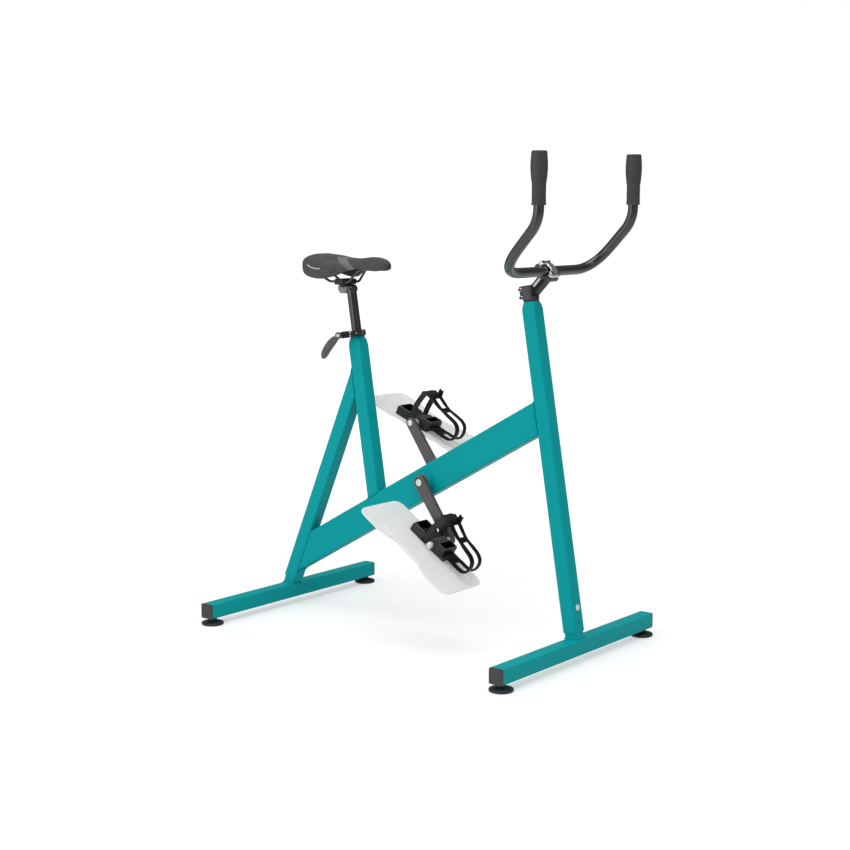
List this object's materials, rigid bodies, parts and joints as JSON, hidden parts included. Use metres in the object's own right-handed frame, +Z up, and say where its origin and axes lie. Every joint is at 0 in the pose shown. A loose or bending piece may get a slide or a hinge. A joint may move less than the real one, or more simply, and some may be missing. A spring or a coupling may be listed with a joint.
{
  "type": "aqua bike",
  "caption": "Pedal bike for a pool floor: beam frame on two cross feet, finned pedals with toe straps, upright-grip handlebar and height-adjustable saddle.",
  "frame": {"origin": "on the floor, centre of the bounding box's base, under the main beam", "axes": "+X forwards, the way the rider faces, +Y to the rider's left, +Z up"},
  "size_m": [1.0382, 0.6966, 1.2626],
  "materials": {
    "frame_paint": "satin paint",
    "dark_caps": "moulded",
    "sleeves": "moulded",
    "pedal_plastic": "moulded",
    "fin_plastic": "translucent sheet",
    "strap_rubber": "matt",
    "grip_rubber": "ribbed",
    "cover": "stitched cover over foam",
    "black_metal": "satin black",
    "crank_metal": "dark anodised",
    "light_alloy": "cast",
    "steel": "bright"
  },
  "bodies": {
    "frame": {"rear_foot_tube": "frame_paint", "front_foot_tube": "frame_paint", "rear_foot_cap_right": "dark_caps", "rear_foot_cap_left": "dark_caps", "front_foot_cap_right": "dark_caps", "front_foot_cap_left": "dark_caps", "rear_brace": "frame_paint", "seat_tube": "frame_paint", "main_beam": "frame_paint", "rear_foot_spigot": "frame_paint", "front_foot_spigot": "frame_paint", "front_post": "frame_paint", "front_post_bolt": "steel", "front_post_sleeve": "sleeves", "seat_tube_sleeve": "sleeves", "steerer_tube": "steel", "bottom_bracket_shell": "frame_paint", "bearing_cup_right": "crank_metal", "bearing_cup_left": "crank_metal", "seat_clamp_collar": "black_metal", "clamp_skewer": "steel", "clamp_nut": "steel", "clamp_bush": "light_alloy"},
    "crankset": {"bottom_bracket_spindle": "steel", "crank_right": "crank_metal", "crank_left": "crank_metal", "crank_bolt_right": "steel", "crank_bolt_left": "steel", "pedal_axle_right": "steel", "pedal_axle_left": "steel", "axle_nut_right": "steel", "axle_nut_left": "steel"},
    "pedal_right": {"pedal_body_right": "pedal_plastic", "toe_clip_right": "pedal_plastic", "toe_strap_right": "strap_rubber", "front_fin_right": "fin_plastic", "rear_fin_right": "fin_plastic"},
    "pedal_left": {"pedal_body_left": "pedal_plastic", "toe_clip_left": "pedal_plastic", "toe_strap_left": "strap_rubber", "front_fin_left": "fin_plastic", "rear_fin_left": "fin_plastic"},
    "seat_post": {"seat_post": "black_metal", "seat_post_head": "light_alloy"},
    "saddle_carrier": {"rail_cradle": "crank_metal", "rail_clamp": "crank_metal", "cradle_bolt": "steel"},
    "saddle": {"saddle_rails": "steel", "saddle_shell": "sleeves", "saddle_pad": "cover"},
    "clamp_lever": {"quick_release_lever": "black_metal"},
    "stem": {"stem": "crank_metal", "stem_faceplate": "light_alloy"},
    "handlebar": {"handlebar": "black_metal", "grip_right": "grip_rubber", "grip_left": "grip_rubber"},
    "pad_rear_right": {"rear_levelling_pad_right": "dark_caps"},
    "pad_rear_left": {"rear_levelling_pad_left": "dark_caps"},
    "pad_front_right": {"front_levelling_pad_right": "dark_caps"},
    "pad_front_left": {"front_levelling_pad_left": "dark_caps"}
  },
  "joints": [
    {"name": "crank_spin", "type": "hinge", "parent": "frame", "child": "crankset", "pos_m": [0.01592, 0, 0.4105], "axis": [0, 1, 0], "continuous": true},
    {"name": "pedal_spin_right", "type": "hinge", "parent": "crankset", "child": "pedal_right", "pos_m": [0.11536, -0.09, 0.26954], "axis": [0, 1, 0], "continuous": true},
    {"name": "pedal_spin_left", "type": "hinge", "parent": "crankset", "child": "pedal_left", "pos_m": [-0.08351, 0.09, 0.55146], "axis": [0, 1, 0], "continuous": true},
    {"name": "seat_height", "type": "slide", "parent": "frame", "child": "seat_post", "axis": [-0.1599, 0, 0.9871], "range_m": [-0.075, 0.13]},
    {"name": "saddle_tilt", "type": "hinge", "parent": "seat_post", "child": "saddle_carrier", "pos_m": [-0.28081, 0, 0.92785], "axis": [0, 1, 0], "range_deg": [-10, 10]},
    {"name": "saddle_fore_aft", "type": "slide", "parent": "saddle_carrier", "child": "saddle", "axis": [1, 0, 0], "range_m": [-0.008, 0.012]},
    {"name": "lever_swing", "type": "hinge", "parent": "frame", "child": "clamp_lever", "pos_m": [-0.26289, -0.05127, 0.78414], "axis": [-0.6077, 0.788, -0.0984], "range_deg": [0, 110]},
    {"name": "stem_swivel", "type": "hinge", "parent": "frame", "child": "stem", "pos_m": [0.33255, 0, 0.9206], "axis": [-0.168, 0, 0.9858], "range_deg": [-90, 90]},
    {"name": "bar_roll", "type": "hinge", "parent": "stem", "child": "handlebar", "pos_m": [0.38408, 0, 0.97464], "axis": [0, 1, 0], "range_deg": [-45, 45]},
    {"name": "pad_rear_right_screw", "type": "slide", "parent": "frame", "child": "pad_rear_right", "axis": [0, 0, -1], "range_m": [0, 0.012]},
    {"name": "pad_rear_left_screw", "type": "slide", "parent": "frame", "child": "pad_rear_left", "axis": [0, 0, -1], "range_m": [0, 0.012]},
    {"name": "pad_front_right_screw", "type": "slide", "parent": "frame", "child": "pad_front_right", "axis": [0, 0, -1], "range_m": [0, 0.012]},
    {"name": "pad_front_left_screw", "type": "slide", "parent": "frame", "child": "pad_front_left", "axis": [0, 0, -1], "range_m": [0, 0.012]}
  ]
}
